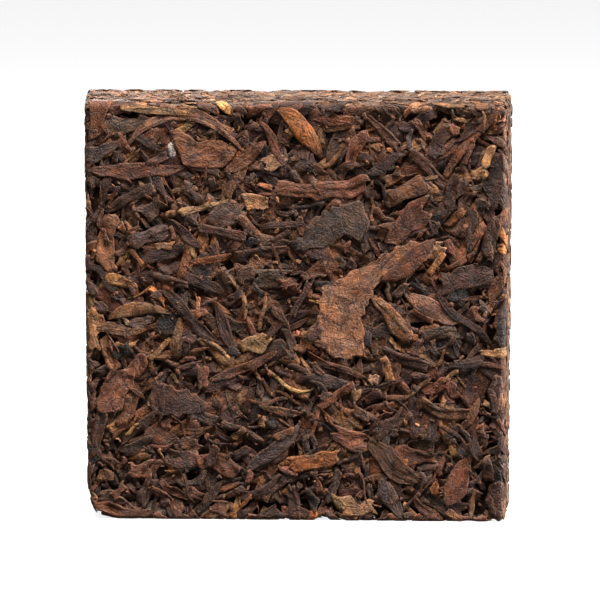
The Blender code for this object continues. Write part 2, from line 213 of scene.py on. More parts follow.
TONES = {name: linear(colour) for name, colour in {
    "black": "#2a2120",
    "dark": "#3e2820",
    "grey": "#45342d",
    "brown": "#583725",
    "red": "#643f2e",
    "olive": "#755237",
    "tan": "#826044",
    "gold": "#957148",
    "orange": "#83502a",
    "rust": "#785543",
    "pale": "#9d9492",
}.items()}
TONE_SHARES = {
    "black": 0.06, "dark": 0.30, "grey": 0.15, "brown": 0.24, "red": 0.11, "olive": 0.09,
    "tan": 0.03, "gold": 0.01, "orange": 0.01,
}
TONE_SPREAD = 0.24  # how unlike in brightness two pieces of one tone are
CHOSEN_SPREAD = 0.08  # the same, for pieces whose tone is chosen
HUE_SPREAD = (0.05, 0.03, 0.06)  # how unlike in red, green and blue
# The thin sides are paler: partly dust from the mould's rubbing, partly painted light
RUBBED_AND_LIT = 1.05
DUST_AND_LIGHT = linear("#8c7c6e")
DUST_AND_LIGHT_SHARE = 0.25


def piece_colour(piece):
    """The linear colour of one piece, from its tone or else from a random one."""
    tone = piece.tone or rng.choice(list(TONE_SHARES), p=list(TONE_SHARES.values()))
    spread = CHOSEN_SPREAD if piece.tone else TONE_SPREAD
    shift = np.exp(rng.normal(0, HUE_SPREAD) + rng.normal(0, spread))
    colour = TONES[tone] * shift
    if piece.side in FACES:
        return colour
    # paler on the thin sides: partly dust, partly painted light
    return colour * RUBBED_AND_LIT * (1 - DUST_AND_LIGHT_SHARE) + DUST_AND_LIGHT * DUST_AND_LIGHT_SHARE


GAP_HEIGHTS = (-1.6, -0.45)  # heights from the darkest painted shade in the gaps to tea with its full colour
GAP_SHADE = 0.22  # how dark the painted shade in the gaps is at its darkest


def painted_gap_shade(height):
    """Painted shade: the deeper tea lies in the gaps, the darker its colour is drawn."""
    return np.interp(height, GAP_HEIGHTS, (GAP_SHADE, 1.0))[:, None]


# Patterns from which every piece is copied. A leaf pattern is a flat sheet with both faces split
# into triangles alike, and a stalk pattern is a rod. Both are made once for each number of spaces
# along and round them.

bpy.ops.object.select_all(action="DESELECT")
Pattern = namedtuple("Pattern", "row column outside triangles smooth")


def split_into_triangles():
    bpy.ops.object.mode_set(mode="EDIT")
    bpy.ops.mesh.select_all(action="SELECT")
    bpy.ops.mesh.quads_convert_to_tris(quad_method="FIXED")
    bpy.ops.object.mode_set(mode="OBJECT")


def read_pattern(model):
    """The model's corners and triangles, after which it is removed."""
    split_into_triangles()
    corners = np.empty(len(model.data.vertices) * 3)
    model.data.vertices.foreach_get("co", corners)
    triangles = np.empty(len(model.data.polygons) * 3, int)
    model.data.polygons.foreach_get("vertices", triangles)
    mesh = model.data
    bpy.data.objects.remove(model)
    bpy.data.meshes.remove(mesh)
    return corners.reshape(-1, 3), triangles.reshape(-1, 3)


@cache
def leaf_pattern(rows, columns):
    """A sheet of so many spaces along and beside, with a face on either side."""
    bpy.ops.mesh.primitive_grid_add(x_subdivisions=rows, y_subdivisions=columns, size=2)
    model = bpy.context.object
    split_into_triangles()
    wall = model.modifiers.new("thickness", "SOLIDIFY")
    wall.thickness = 1
    wall.offset = 0
    bpy.ops.object.modifier_apply(modifier=wall.name)
    corners, triangles = read_pattern(model)
    row = np.rint((corners[:, 0] + 1) / 2 * rows).astype(int)
    column = np.rint((corners[:, 1] + 1) / 2 * columns).astype(int)
    outside = np.sign(corners[:, 2])
    smooth = np.ptp(outside[triangles], axis=1) == 0
    return Pattern(row, column, outside, triangles, smooth)


@cache
def stalk_pattern(rows, columns):
    """A rod of so many spaces along and corners round it, with closed ends."""
    bpy.ops.mesh.primitive_cylinder_add(vertices=columns, depth=2, end_fill_type="TRIFAN")
    model = bpy.context.object
    bpy.ops.object.mode_set(mode="EDIT")
    bpy.ops.mesh.select_mode(type="EDGE")
    bpy.ops.mesh.select_all(action="DESELECT")
    bpy.ops.object.mode_set(mode="OBJECT")
    ends = np.array([vert.co.z for vert in model.data.vertices])
    for edge in model.data.edges:
        edge.select = abs(ends[edge.vertices[0]] - ends[edge.vertices[1]]) > 1
    bpy.ops.object.mode_set(mode="EDIT")
    bpy.ops.mesh.subdivide(number_cuts=rows - 1)
    bpy.ops.mesh.select_mode(type="VERT")
    corners, triangles = read_pattern(model)
    row = np.rint((corners[:, 2] + 1) / 2 * rows).astype(int)
    turn = np.arctan2(corners[:, 1], corners[:, 0])
    column = np.rint(turn / (2 * math.pi) * columns).astype(int) % columns
    outside = np.rint(np.hypot(corners[:, 0], corners[:, 1]))
    smooth = np.ptp(outside[triangles], axis=1) == 0
    return Pattern(row, column, outside, triangles, smooth)


# The kinds of leaf piece. End is how wide a piece's ends are for its middle, blunt the power of
# the curve to them, and torn how deep its edges are torn. Pleat is the height of the pleats along
# it and crumple that of the creases, which run any way. Bend says how its cross-section turns: a
# rim that curls, a crease along the rib, a flap that is folded over, or a whole roll. Rounds says
# how wide a hollow it spans, and name in which mesh it goes.

Kind = namedtuple("Kind", "end blunt torn thickness pleat crumple bend rounds name")
KINDS = {
    "torn": Kind(0.9, 8, 0.75, 0.16, 0.08, 0.7, "rim", 14, "torn_leaves"),
    "folded": Kind(0.85, 8, 0.6, 0.16, 0.08, 0.65, "fold", 14, "folded_leaves"),
    "pointed": Kind(0.12, 2.2, 0.4, 0.18, 0.1, 0.55, "crease", 16, "pointed_leaves"),
    "great": Kind(1, 1, 0.1, 0.18, 0.05, 0.6, "crease", 26, "pointed_leaves"),
    "broad": Kind(1, 1, 0.1, 0.18, 0.05, 0.6, "crease", 20, "torn_leaves"),
    "arrow": Kind(1, 1, 0.1, 0.18, 0.05, 0.6, "crease", 16, "torn_leaves"),
    "rolled": Kind(0.3, 3.4, 0.3, 0.24, 0.3, 0.3, "roll", 12, "rolled_leaves"),
    "crumpled": Kind(0.9, 8, 0.75, 0.2, 0.15, 1.5, "rim", 8, "torn_leaves"),
    "chip": Kind(0.6, 4, 0.5, 0.32, 0.05, 0.4, "rim", 5, "chips"),
    "stalk": Kind(0.75, 6, 0, 0, 0.1, 0.05, None, 40, "stalks"),
    "wire": Kind(0.5, 4, 0, 0, 0.08, 0.05, None, 6, "stalks"),
}
TEAR = 3.6  # length of one straight run of a torn edge
END_CORNERS = 4  # corners of a torn end
FRAYED = 0.38  # how uneven the edges of the largest leaves are

# Outlines of the largest leaves: millimetres along, then where both edges are beside the axis
SHAPES = {
    "great": (
        (-17.4, 0.5, 2.8), (-16, -1.5, 6.7), (-12.5, -4, 10), (-8.9, -1.8, 12.6),
        (-7.3, 0.6, 13.5), (-6.5, 1.8, 13), (-2.1, 3, 11.2), (1.1, 3.8, 9.9), (4.1, 4.3, 8.3),
        (6.1, 2.4, 7.5), (7.6, 1, 7.2), (9.6, 0.3, 6.6), (13.3, -0.9, 4.9), (15, -1.4, 3.7),
        (18, -1.2, 1.1),
    ),
    "broad": (
        (-9.4, -0.7, 0), (-3.5, -2.5, 4.1), (0, -2.9, 4.7), (2.9, -2.8, 4.5), (5.3, -5.5, 4.1),
        (9, -2.8, 3.4), (9.4, -2, 2.5),
    ),
    "arrow": (
        (-6, -1.5, 5.8), (-3.5, -2.6, 5), (0, -2.8, 3.8), (3, -2.2, 2.5), (6, -1, 1.2),
        (7, -0.5, 0.4),
    ),
}
UNROLLED = 1.8  # width of a rolled leaf for that of the roll
ROLL_SAG = 0.5  # how far a roll sinks into a hollow beside what it lies on
ROLL_FLATTENING = 0.45  # a roll's height for its width after pressing
PLEATED = 0.75  # share of rolls that show two or three ridges, winding round them
PLEAT_LENGTH = 14.0
PLEAT_WIDTH = 2.2
CREASE_SPACING = 1.7
NARROW = 0.8  # half width under which a piece has lower wrinkles
UNPRESSED = 0.4  # share of the wrinkles that came up again after pressing
RELIEF_LEFT = 0.3  # least share of a piece's folds and curls that pressing left
RIM_GAP = 0.07  # least height of a piece over what is under it
LOOSE_LIFT = (0.0, 0.2)  # how far a piece stands over what it touches
TUCKED = 0.55  # share of fill pieces with an edge or end pushed in among the others
TUCK_DEPTH = (0.3, 1.0)
MAP_UNIT = 10  # millimetres to a unit of the map on a piece

# Slopes of cross-sections, in degrees
RIM_CURL = 20
RIB_SLOPE = (14, 30)
GREAT_RIB_SLOPE = 17
FOLD_TURN = 168
ROLL_TURN = (95, 165)
RIDGE_SLOPE = (40, 62)

Piece = namedtuple("Piece", "side across up length width turn kind tone bow", defaults=(None, 0))
Laid = namedtuple("Laid", "points pattern colours uv rim")
laid_pieces = defaultdict(list)


def edges(kind, piece, u):
    """Where the two edges run beside the axis of a piece, in millimetres: straight tears between
    corners, inside the outline of its kind."""
    if piece.kind in SHAPES:
        stations, right, left = np.array(SHAPES[piece.kind]).T
        reach = u * piece.length / 2
        frayed = [FRAYED * ripple(reach, 0, 2.2, 1.0) for _ in range(2)]
        right = np.interp(reach, stations, right) + frayed[0]
        return right, np.interp(reach, stations, left) + frayed[1]
    full = piece.width / 2 * (1 - (1 - kind.end) * np.abs(u) ** kind.blunt)
    both = []
    for way in (-1, 1):
        corners = np.linspace(-1, 1, max(3, round(piece.length / TEAR)) + 1)
        corners = corners + rng.uniform(-0.5, 0.5, len(corners)) * (corners[1] - corners[0])
        left_over = 1 - kind.torn * rng.uniform(0, 1, len(corners))
        both.append(way * full * np.interp(u, corners, left_over))
    return both


def creases(along, beside, spacing):
    """Sharp folds between 0 and 1 high that cross a piece in three directions."""
    total = 0
    for _ in range(3):
        turn = rng.uniform(0, math.pi)
        place = (along * math.cos(turn) + beside * math.sin(turn)) / spacing / rng.uniform(0.7, 1.5)
        place = place + 0.3 * ripple(along, beside, 7.0, 7.0, 2)
        total = total + np.abs((place + rng.uniform()) % 2 - 1)
    return total / 3


def bend_angles(kind, along, beside):
    """How the cross-section turns at each place, as an angle."""
    way = rng.choice([-1, 1])
    uneven = 1 + 0.3 * np.sin(along * rng.uniform(1, 4) + rng.uniform(0, 6))
    if kind.bend == "crease":
        steepness = GREAT_RIB_SLOPE if kind.end == 1 else rng.uniform(*RIB_SLOPE)
        return way * math.radians(steepness) * np.tanh(beside / 0.2) * uneven
    if kind.bend == "fold":
        place = rng.uniform(0.0, 0.35) + 0.15 * along
        return math.radians(FOLD_TURN) * np.clip((beside - place) / 0.22, 0, 1)
    if kind.bend == "roll" and rng.uniform() < PLEATED:
        ridges = 0.5 * rng.uniform(2.0, 3.2) * beside + rng.uniform(-0.6, 0.6) * along + rng.uniform()
        return math.radians(rng.uniform(*RIDGE_SLOPE)) * np.tanh(2.5 * np.sin(2 * math.pi * ridges))
    if kind.bend == "roll":
        return way * math.radians(rng.uniform(*ROLL_TURN)) * beside * uneven
    return math.radians(rng.uniform(-RIM_CURL, RIM_CURL)) * beside * np.abs(beside) * uneven


def cross_section(angle):
    """Where a sheet with these slopes runs and climbs at each place, for half a width of 1."""
    step = (angle[:, 1:] + angle[:, :-1]) / 2
    start = np.zeros((len(angle), 1))
    run = np.concatenate([start, np.cumsum(np.cos(step), 1)], 1)
    climb = np.concatenate([start, np.cumsum(np.sin(step), 1)], 1)
    run -= (run.max(1, keepdims=True) + run.min(1, keepdims=True)) / 2
    reach = np.abs(run).max()
    return run / reach, (climb - climb.min(1, keepdims=True)) / reach


def on_side(piece, along, beside):
    """The piece's side and places across and up it, for millimetres along and beside the piece."""
    turn = math.radians(piece.turn)
    across = piece.across + along * math.cos(turn) - beside * math.sin(turn)
    up = piece.up + along * math.sin(turn) + beside * math.cos(turn)
    return piece.side, across, up


def keep(piece, pattern, along, beside, height, uv, rim):
    """Puts a shaped piece on its side, raises the height map there and keeps its mesh."""
    spots = skin(*on_side(piece, along, beside))
    points = moulded(*spots, height)
    np.maximum.at(heights, map_cells(*spots), height)
    # each piece's colour, darkened by painted shade where it lies deep in the gaps
    colours = piece_colour(piece) * painted_gap_shade(height)
    zone = piece.side if piece.side in FACES else "edges"
    name = f"{KINDS[piece.kind].name}_{zone}"
    laid_pieces[name].append(Laid(points, pattern, colours, uv, rim))


def lay_leaf(piece, spacing, tucked=False):
    """Lays one leaf piece on the tea that is there, with corners this far apart."""
    kind = KINDS[piece.kind]
    rolled = kind.bend == "roll"
    unrolled = piece.width * (UNROLLED if rolled else 1.0)
    rows = max(4, round(piece.length / spacing))
    columns = max(3, round(unrolled / spacing))
    u = np.linspace(-1, 1, rows + 1)[:, None]
    v = np.linspace(-1, 1, columns + 1)[None, :]
    right, left = edges(kind, piece, u)
    half_width = (left - right) / 2
    angle = bend_angles(kind, u, v)
    run, climb = cross_section(angle)
    flattening = ROLL_FLATTENING if rolled else 1.0
    beside = (left + right) / 2 + run * half_width
    end_corners = np.linspace(-1, 1, END_CORNERS)
    end_corners = np.interp(v, end_corners, rng.uniform(-1, 1, END_CORNERS))
    torn_end = end_corners * np.sign(u) * np.abs(u) ** 4 * kind.torn * half_width
    along = u * piece.length / 2 + rng.uniform(-0.5, 0.5) * kind.torn * beside + torn_end
    sway = rng.uniform(-1, 1) * piece.length * (0.05 if rolled else 0.02)
    spine = piece.bow * (u**2 - 0.4) + sway * np.sin(rng.uniform(2, 4) * u)
    relief = climb * half_width * flattening
    pleats = np.abs(ripple(along, v * unrolled / 2, PLEAT_LENGTH, PLEAT_WIDTH))
    crumples = creases(along, beside, CREASE_SPACING)
    body = np.minimum(1, half_width / NARROW)
    press = FACE_PRESS if piece.side in FACES else THIN_PRESS
    wrinkles = (kind.pleat * pleats + kind.crumple * (1 - crumples)) * body * press.wrinkling
    tuck = 0
    if tucked:
        pushed_in = (u if rng.uniform() < 0.4 else v) * rng.choice([-1, 1])
        tuck = rng.uniform(*TUCK_DEPTH) * np.clip(pushed_in, 0, 1) ** 1.5
    ground = tea_height(*on_side(piece, along, beside + spine))
    sheet = laid(ground, kind.rounds)
    if rolled:
        sheet = np.maximum(sheet, sheet.max(1, keepdims=True) - ROLL_SAG)
    middle = sheet + rng.uniform(*LOOSE_LIFT) + kind.thickness / 2 + relief
    middle = squeezed(middle, press.start, press.room)
    middle = np.maximum(middle, sheet + RIM_GAP + RELIEF_LEFT * relief)
    middle = middle + wrinkles * UNPRESSED - tuck
    pattern = leaf_pattern(rows, columns)
    place = (pattern.row, pattern.column)
    half = kind.thickness / 2 * pattern.outside
    corner_beside = (beside + spine)[place] - half * np.sin(angle[place]) * flattening
    corner_height = middle[place] + half * np.cos(angle[place])
    # nearness to the edge, where the rims are drawn paler, partly as painted highlight
    rim = np.maximum(np.abs(u) ** 6, np.abs(v) ** 10)[place]
    twisted = v * unrolled / 2 + along * rng.uniform(-0.25, 0.25)
    uv = np.stack([along[place], twisted[place]], -1) / MAP_UNIT + rng.uniform(0, 20, 2)
    keep(piece, pattern, along[place], corner_beside, corner_height, uv, rim)


def lay_stalk(piece, spacing):
    """Lays one stalk or wiry stem on the tea that is there."""
    kind = KINDS[piece.kind]
    rows = max(4, round(piece.length / spacing))
    columns = 8
    u = np.linspace(-1, 1, rows + 1)
    radius = piece.width / 2 * (1 - (1 - kind.end) * np.abs(u) ** kind.blunt)
    radius = radius * (1 + 0.08 * ripple(u * piece.length / 2, 0, 4.0, 1.0))
    sway = rng.uniform(-1, 1) * piece.length * (0.05 if piece.kind == "wire" else 0.012)
    spine = piece.bow * (u**2 - 0.4) + sway * np.sin(rng.uniform(2.5, 5) * u)
    along = u * piece.length / 2
    beside = spine[:, None] + radius[:, None] * np.array([[-0.7, 0, 0.7]])
    ground = tea_height(*on_side(piece, along[:, None], beside)).max(1, keepdims=True)
    base = laid(ground, kind.rounds)[:, 0] + rng.uniform(-0.1, 0.15)
    pattern = stalk_pattern(rows, columns)
    row = pattern.row
    turn = pattern.column / columns * 2 * math.pi
    ridges = 1 + 0.10 * np.cos(3 * turn + u[row] * 3 + rng.uniform(0, 6))
    round_radius = radius[row] * ridges * pattern.outside
    relief = 0.9 * (radius[row] + round_radius * np.sin(turn))
    press = FACE_PRESS if piece.side in FACES else THIN_PRESS
    corner_height = squeezed(base[row] + relief, press.start, press.room)
    corner_height = np.maximum(corner_height, base[row] + RELIEF_LEFT * relief)
    corner_beside = spine[row] + round_radius * np.cos(turn)
    along = along[row]
    uv = np.stack([along, radius[row] * turn], -1) / MAP_UNIT + rng.uniform(0, 20, 2)
    # nearness to the ends, where the rims are drawn paler, partly as painted highlight
    rim = np.abs(u[row]) ** 10
    keep(piece, pattern, along, corner_beside, corner_height, uv, rim)


def lay(piece, spacing, tucked=False):
    if KINDS[piece.kind].bend is None:
        lay_stalk(piece, spacing)
    else:
        lay_leaf(piece, spacing, tucked)


# The core: tea dust and broken leaf, packed hard and nearly black, which shows only at the bottom
# of the gaps. It stands for the whole solid, with the pieces on it.

CORE_EDGE = 0.9  # radius of its edges
CORE_STEP = 1.4  # between its corners
CORE_LUMPS = 0.5  # how uneven it is
CORE_LUMP_SIZE = 3.5
DUSTY_AND_LIT = (0.5, 2.0)  # how far from the front and back the paler dust and painted light begin and are full
FULL_DUST_AND_LIGHT = 0.75


def add(tree, kind, inputs=(), **settings):
    """Adds a node. An input that is given a socket is linked to it, and any other is set."""
    node = tree.nodes.new("ShaderNode" + kind)
    for name, value in settings.items():
        setattr(node, name, value)
    for name, value in dict(inputs).items():
        if isinstance(value, bpy.types.NodeSocket):
            tree.links.new(value, node.inputs[name])
        else:
            node.inputs[name].default_value = value
    return node


# Packed tea dust: matte black brown with grains of about a millimetre, paler on the thin sides,
# partly dust and partly painted light
packed_dust = bpy.data.materials.new("packed_tea_dust")
packed_dust.use_nodes = True
tree = packed_dust.node_tree
shader = tree.nodes["Principled BSDF"]
places = add(tree, "TexCoord").outputs["Object"]
grains = add(tree, "TexNoise", {"Vector": places, "Scale": 1 / (1.2 * MM), "Detail": 4.0})
grain_colour = add(tree, "ValToRGB", {"Fac": grains.outputs["Fac"]})
dark_stop, pale_stop = grain_colour.color_ramp.elements
dark_stop.position = 0.35
dark_stop.color = (*linear("#120a07"), 1)
pale_stop.position = 0.75
pale_stop.color = (*linear("#36231a"), 1)
rubbed_and_lit = add(tree, "Attribute", attribute_name="rubbed_and_lit").outputs["Fac"]
# Paler towards the thin sides: tea dust, partly painted light
dust_colour = add(tree, "MixRGB", {
    "Fac": rubbed_and_lit, "Color1": grain_colour.outputs["Color"], "Color2": (*linear("#5d4638"), 1),
})
grit = add(tree, "Bump", {"Height": grains.outputs["Fac"], "Distance": 0.4 * MM})
tree.links.new(dust_colour.outputs["Color"], shader.inputs["Base Color"])
tree.links.new(grit.outputs["Normal"], shader.inputs["Normal"])
shader.inputs["Roughness"].default_value = 0.9
shader.inputs["Specular IOR Level"].default_value = 0.1

bpy.ops.mesh.primitive_cube_add(size=2)
core = bpy.context.object
core.name = "packed_core"
core.scale = (HALF - CORE_THIN) * MM
bpy.ops.object.transform_apply()
bpy.ops.object.mode_set(mode="EDIT")
bpy.ops.mesh.select_all(action="SELECT")
bpy.ops.mesh.bevel(offset=CORE_EDGE * MM, segments=2, affect="EDGES")
bpy.ops.object.mode_set(mode="OBJECT")
even = core.modifiers.new("even_mesh", "REMESH")
even.mode = "VOXEL"
even.voxel_size = CORE_STEP * MM
bpy.ops.object.modifier_apply(modifier=even.name)
lump_pattern = bpy.data.textures.new("core_lumps", "CLOUDS")
lump_pattern.noise_scale = CORE_LUMP_SIZE * MM
lump_pattern.noise_depth = 3
lumps = core.modifiers.new("lumps", "DISPLACE")
lumps.texture = lump_pattern
lumps.texture_coords = "LOCAL"
lumps.strength = CORE_LUMPS * 2 * MM
bpy.ops.object.modifier_apply(modifier=lumps.name)
bpy.ops.object.shade_smooth()
corners = np.empty(len(core.data.vertices) * 3)
core.data.vertices.foreach_get("co", corners)
corners = corners.reshape(-1, 3) / MM
sunk = HALF[1] - core_depth(corners[:, 0], corners[:, 2])
corners[:, 1] *= sunk / (HALF[1] - CORE_THIN)
corners = drafted(corners) * MM
core.data.vertices.foreach_set("co", corners.ravel())
core.data.update()
# How far each corner lies from the front and back, for the paler dust and painted light
from_face = sunk - np.abs(corners[:, 1] / MM)
rubbed_and_lit = core.data.attributes.new("rubbed_and_lit", "FLOAT", "POINT")
rubbed_and_lit.data.foreach_set("value", np.interp(from_face, DUSTY_AND_LIT, (0.0, FULL_DUST_AND_LIGHT)))
core.data.materials.append(packed_dust)
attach(core, "root")
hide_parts("tea_brick")


# Leaf pieces at random, under and between those that stand out. They were rolled, fermented and
# pressed damp, so they lie flat, bent over one another, with the small ones in the hollows.

OVER_EDGE = 0.4  # how far a fill piece may reach past the edges of its side
TRIES = 6  # places tried for a crumb or a piece on an edge, of which the lowest lying is taken

# Shares of the kinds in a layer, with ranges of length and width
Layer = namedtuple("Layer", "spacing tries kinds")
LAYERS = {
    "under": Layer(1, 4, {
        "torn": (0.5, (10, 18), (5, 9)),
        "pointed": (0.3, (14, 26), (4, 8)),
        "rolled": (0.2, (10, 20), (2.5, 4.5)),
    }),
    "middle": Layer(0.8, 6, {
        "torn": (0.48, (5, 12), (3.5, 8)),
        "folded": (0.2, (5, 12), (3, 6)),
        "pointed": (0.08, (8, 16), (2.2, 5)),
        "rolled": (0.12, (6, 14), (1.2, 2.4)),
        "crumpled": (0.1, (4, 8), (3, 5.5)),
        "stalk": (0.02, (6, 12), (1.1, 1.8)),
    }),
    "small": Layer(0.56, 9, {
        "torn": (0.52, (2, 5.5), (1.5, 4)),
        "pointed": (0.06, (4, 8), (1, 2.2)),
        "rolled": (0.18, (3, 9), (0.7, 1.5)),
        "crumpled": (0.12, (2, 5), (1.5, 3.5)),
        "wire": (0.07, (4, 10), (0.5, 0.9)),
        "chip": (0.05, (1.2, 3), (0.8, 2.2)),
    }),
    "flecks": Layer(0.5, 9, {
        "torn": (0.48, (1.5, 4.5), (1.2, 2.6)),
        "rolled": (0.16, (2, 6), (0.9, 2)),
        "crumpled": (0.2, (1.5, 3.5), (1.5, 3)),
        "wire": (0.08, (2, 6), (0.6, 1.2)),
        "chip": (0.08, (1.2, 3), (1, 2.4)),
    }),
}
SIDE_TURNS = {"front": 180, "back": 180, "right": 16, "left": 16, "top": 12, "base": 12}
EDGE_ON = 0.6  # how wide pieces look on the thin sides, for what they do on the front and back


def fill(side, layer_name, count, coarser=1.0):
    """Lays pieces of one layer at random on a side, each in the lowest of a few places. Their
    corners are coarser than the layer's by that factor."""
    layer = LAYERS[layer_name]
    names = list(layer.kinds)
    reach = REACH[side]
    lengthwise = 0 if reach[0] > reach[1] else 90
    for _ in range(count):
        kind = rng.choice(names, p=[layer.kinds[name][0] for name in names])
        length = rng.uniform(*layer.kinds[kind][1])
        width = rng.uniform(*layer.kinds[kind][2]) * (EDGE_ON if SIDE_TURNS[side] < 90 else 1)
        turns = lengthwise + rng.uniform(-1, 1, layer.tries) * SIDE_TURNS[side]
        lean = np.radians(turns)
        direction = np.stack([np.cos(lean), np.sin(lean)], -1)
        middles = rng.uniform(-1, 1, (layer.tries, 2))
        middles = middles * (reach[:2] + OVER_EDGE - np.abs(direction) * length / 2)
        stations = np.linspace(-0.4, 0.4, 5)[None, :, None] * length
        spots = middles[:, None, :] + direction[:, None, :] * stations
        level = tea_height(side, spots[..., 0], spots[..., 1]).mean(1)
        best = np.argmin(level)
        bow = rng.uniform(-1, 1) * length * 0.07
        tone = rng.choice(["tan", "orange", "red", "brown"]) if kind == "chip" else None
        piece = Piece(side, *middles[best], length, width, turns[best], kind, tone, bow)
        lay(piece, layer.spacing * coarser, rng.uniform() < TUCKED)


def wrap_edges(side, count):
    """Small pieces laid along the pressed edges round a side, and over them."""
    reach = REACH[side][:2]
    for number in range(count):
        beside_edge = number % 2
        middles = rng.uniform(-1, 1, (TRIES, 2)) * (reach - 2)
        edge = reach[beside_edge] - EDGE * rng.uniform(0.2, 1.2)
        middles[:, beside_edge] = np.sign(middles[:, beside_edge]) * edge
        spot = middles[np.argmin(tea_height(side, middles[:, 0], middles[:, 1]))]
        turn = 90 * (1 - beside_edge) + rng.uniform(-60, 60)
        kind = rng.choice(["torn", "rolled", "crumpled"], p=[0.5, 0.3, 0.2])
        piece = Piece(side, *spot, rng.uniform(3, 7), rng.uniform(1.4, 2.8), turn, kind)
        lay_leaf(piece, 0.5)


# How many pieces of the layers under, middle and flecks a thin side has
THIN_SIDE_COUNTS = {
    "base": (14, 50, 150), "left": (16, 50, 420), "right": (16, 50, 420), "top": (16, 50, 480),
}

for side, counts in THIN_SIDE_COUNTS.items():
    fill(side, "under", counts[0], 1.25)
    fill(side, "middle", counts[1], 1.05)
    fill(side, "flecks", counts[2])
fill("back", "under", 130, 1.25)
fill("back", "middle", 330, 1.35)
wrap_edges("back", 190)
fill("back", "small", 360, 1.1)
fill("front", "under", 150, 1.3)
fill("front", "middle", 300)
wrap_edges("front", 150)
fill("front", "small", 430)


# The pieces that stand out on the front, with their middles in millimetres across and up from the
# middle of the face, then length, width, turn in degrees, kind, tone and the bow of a bent one.
# The last lie on top.

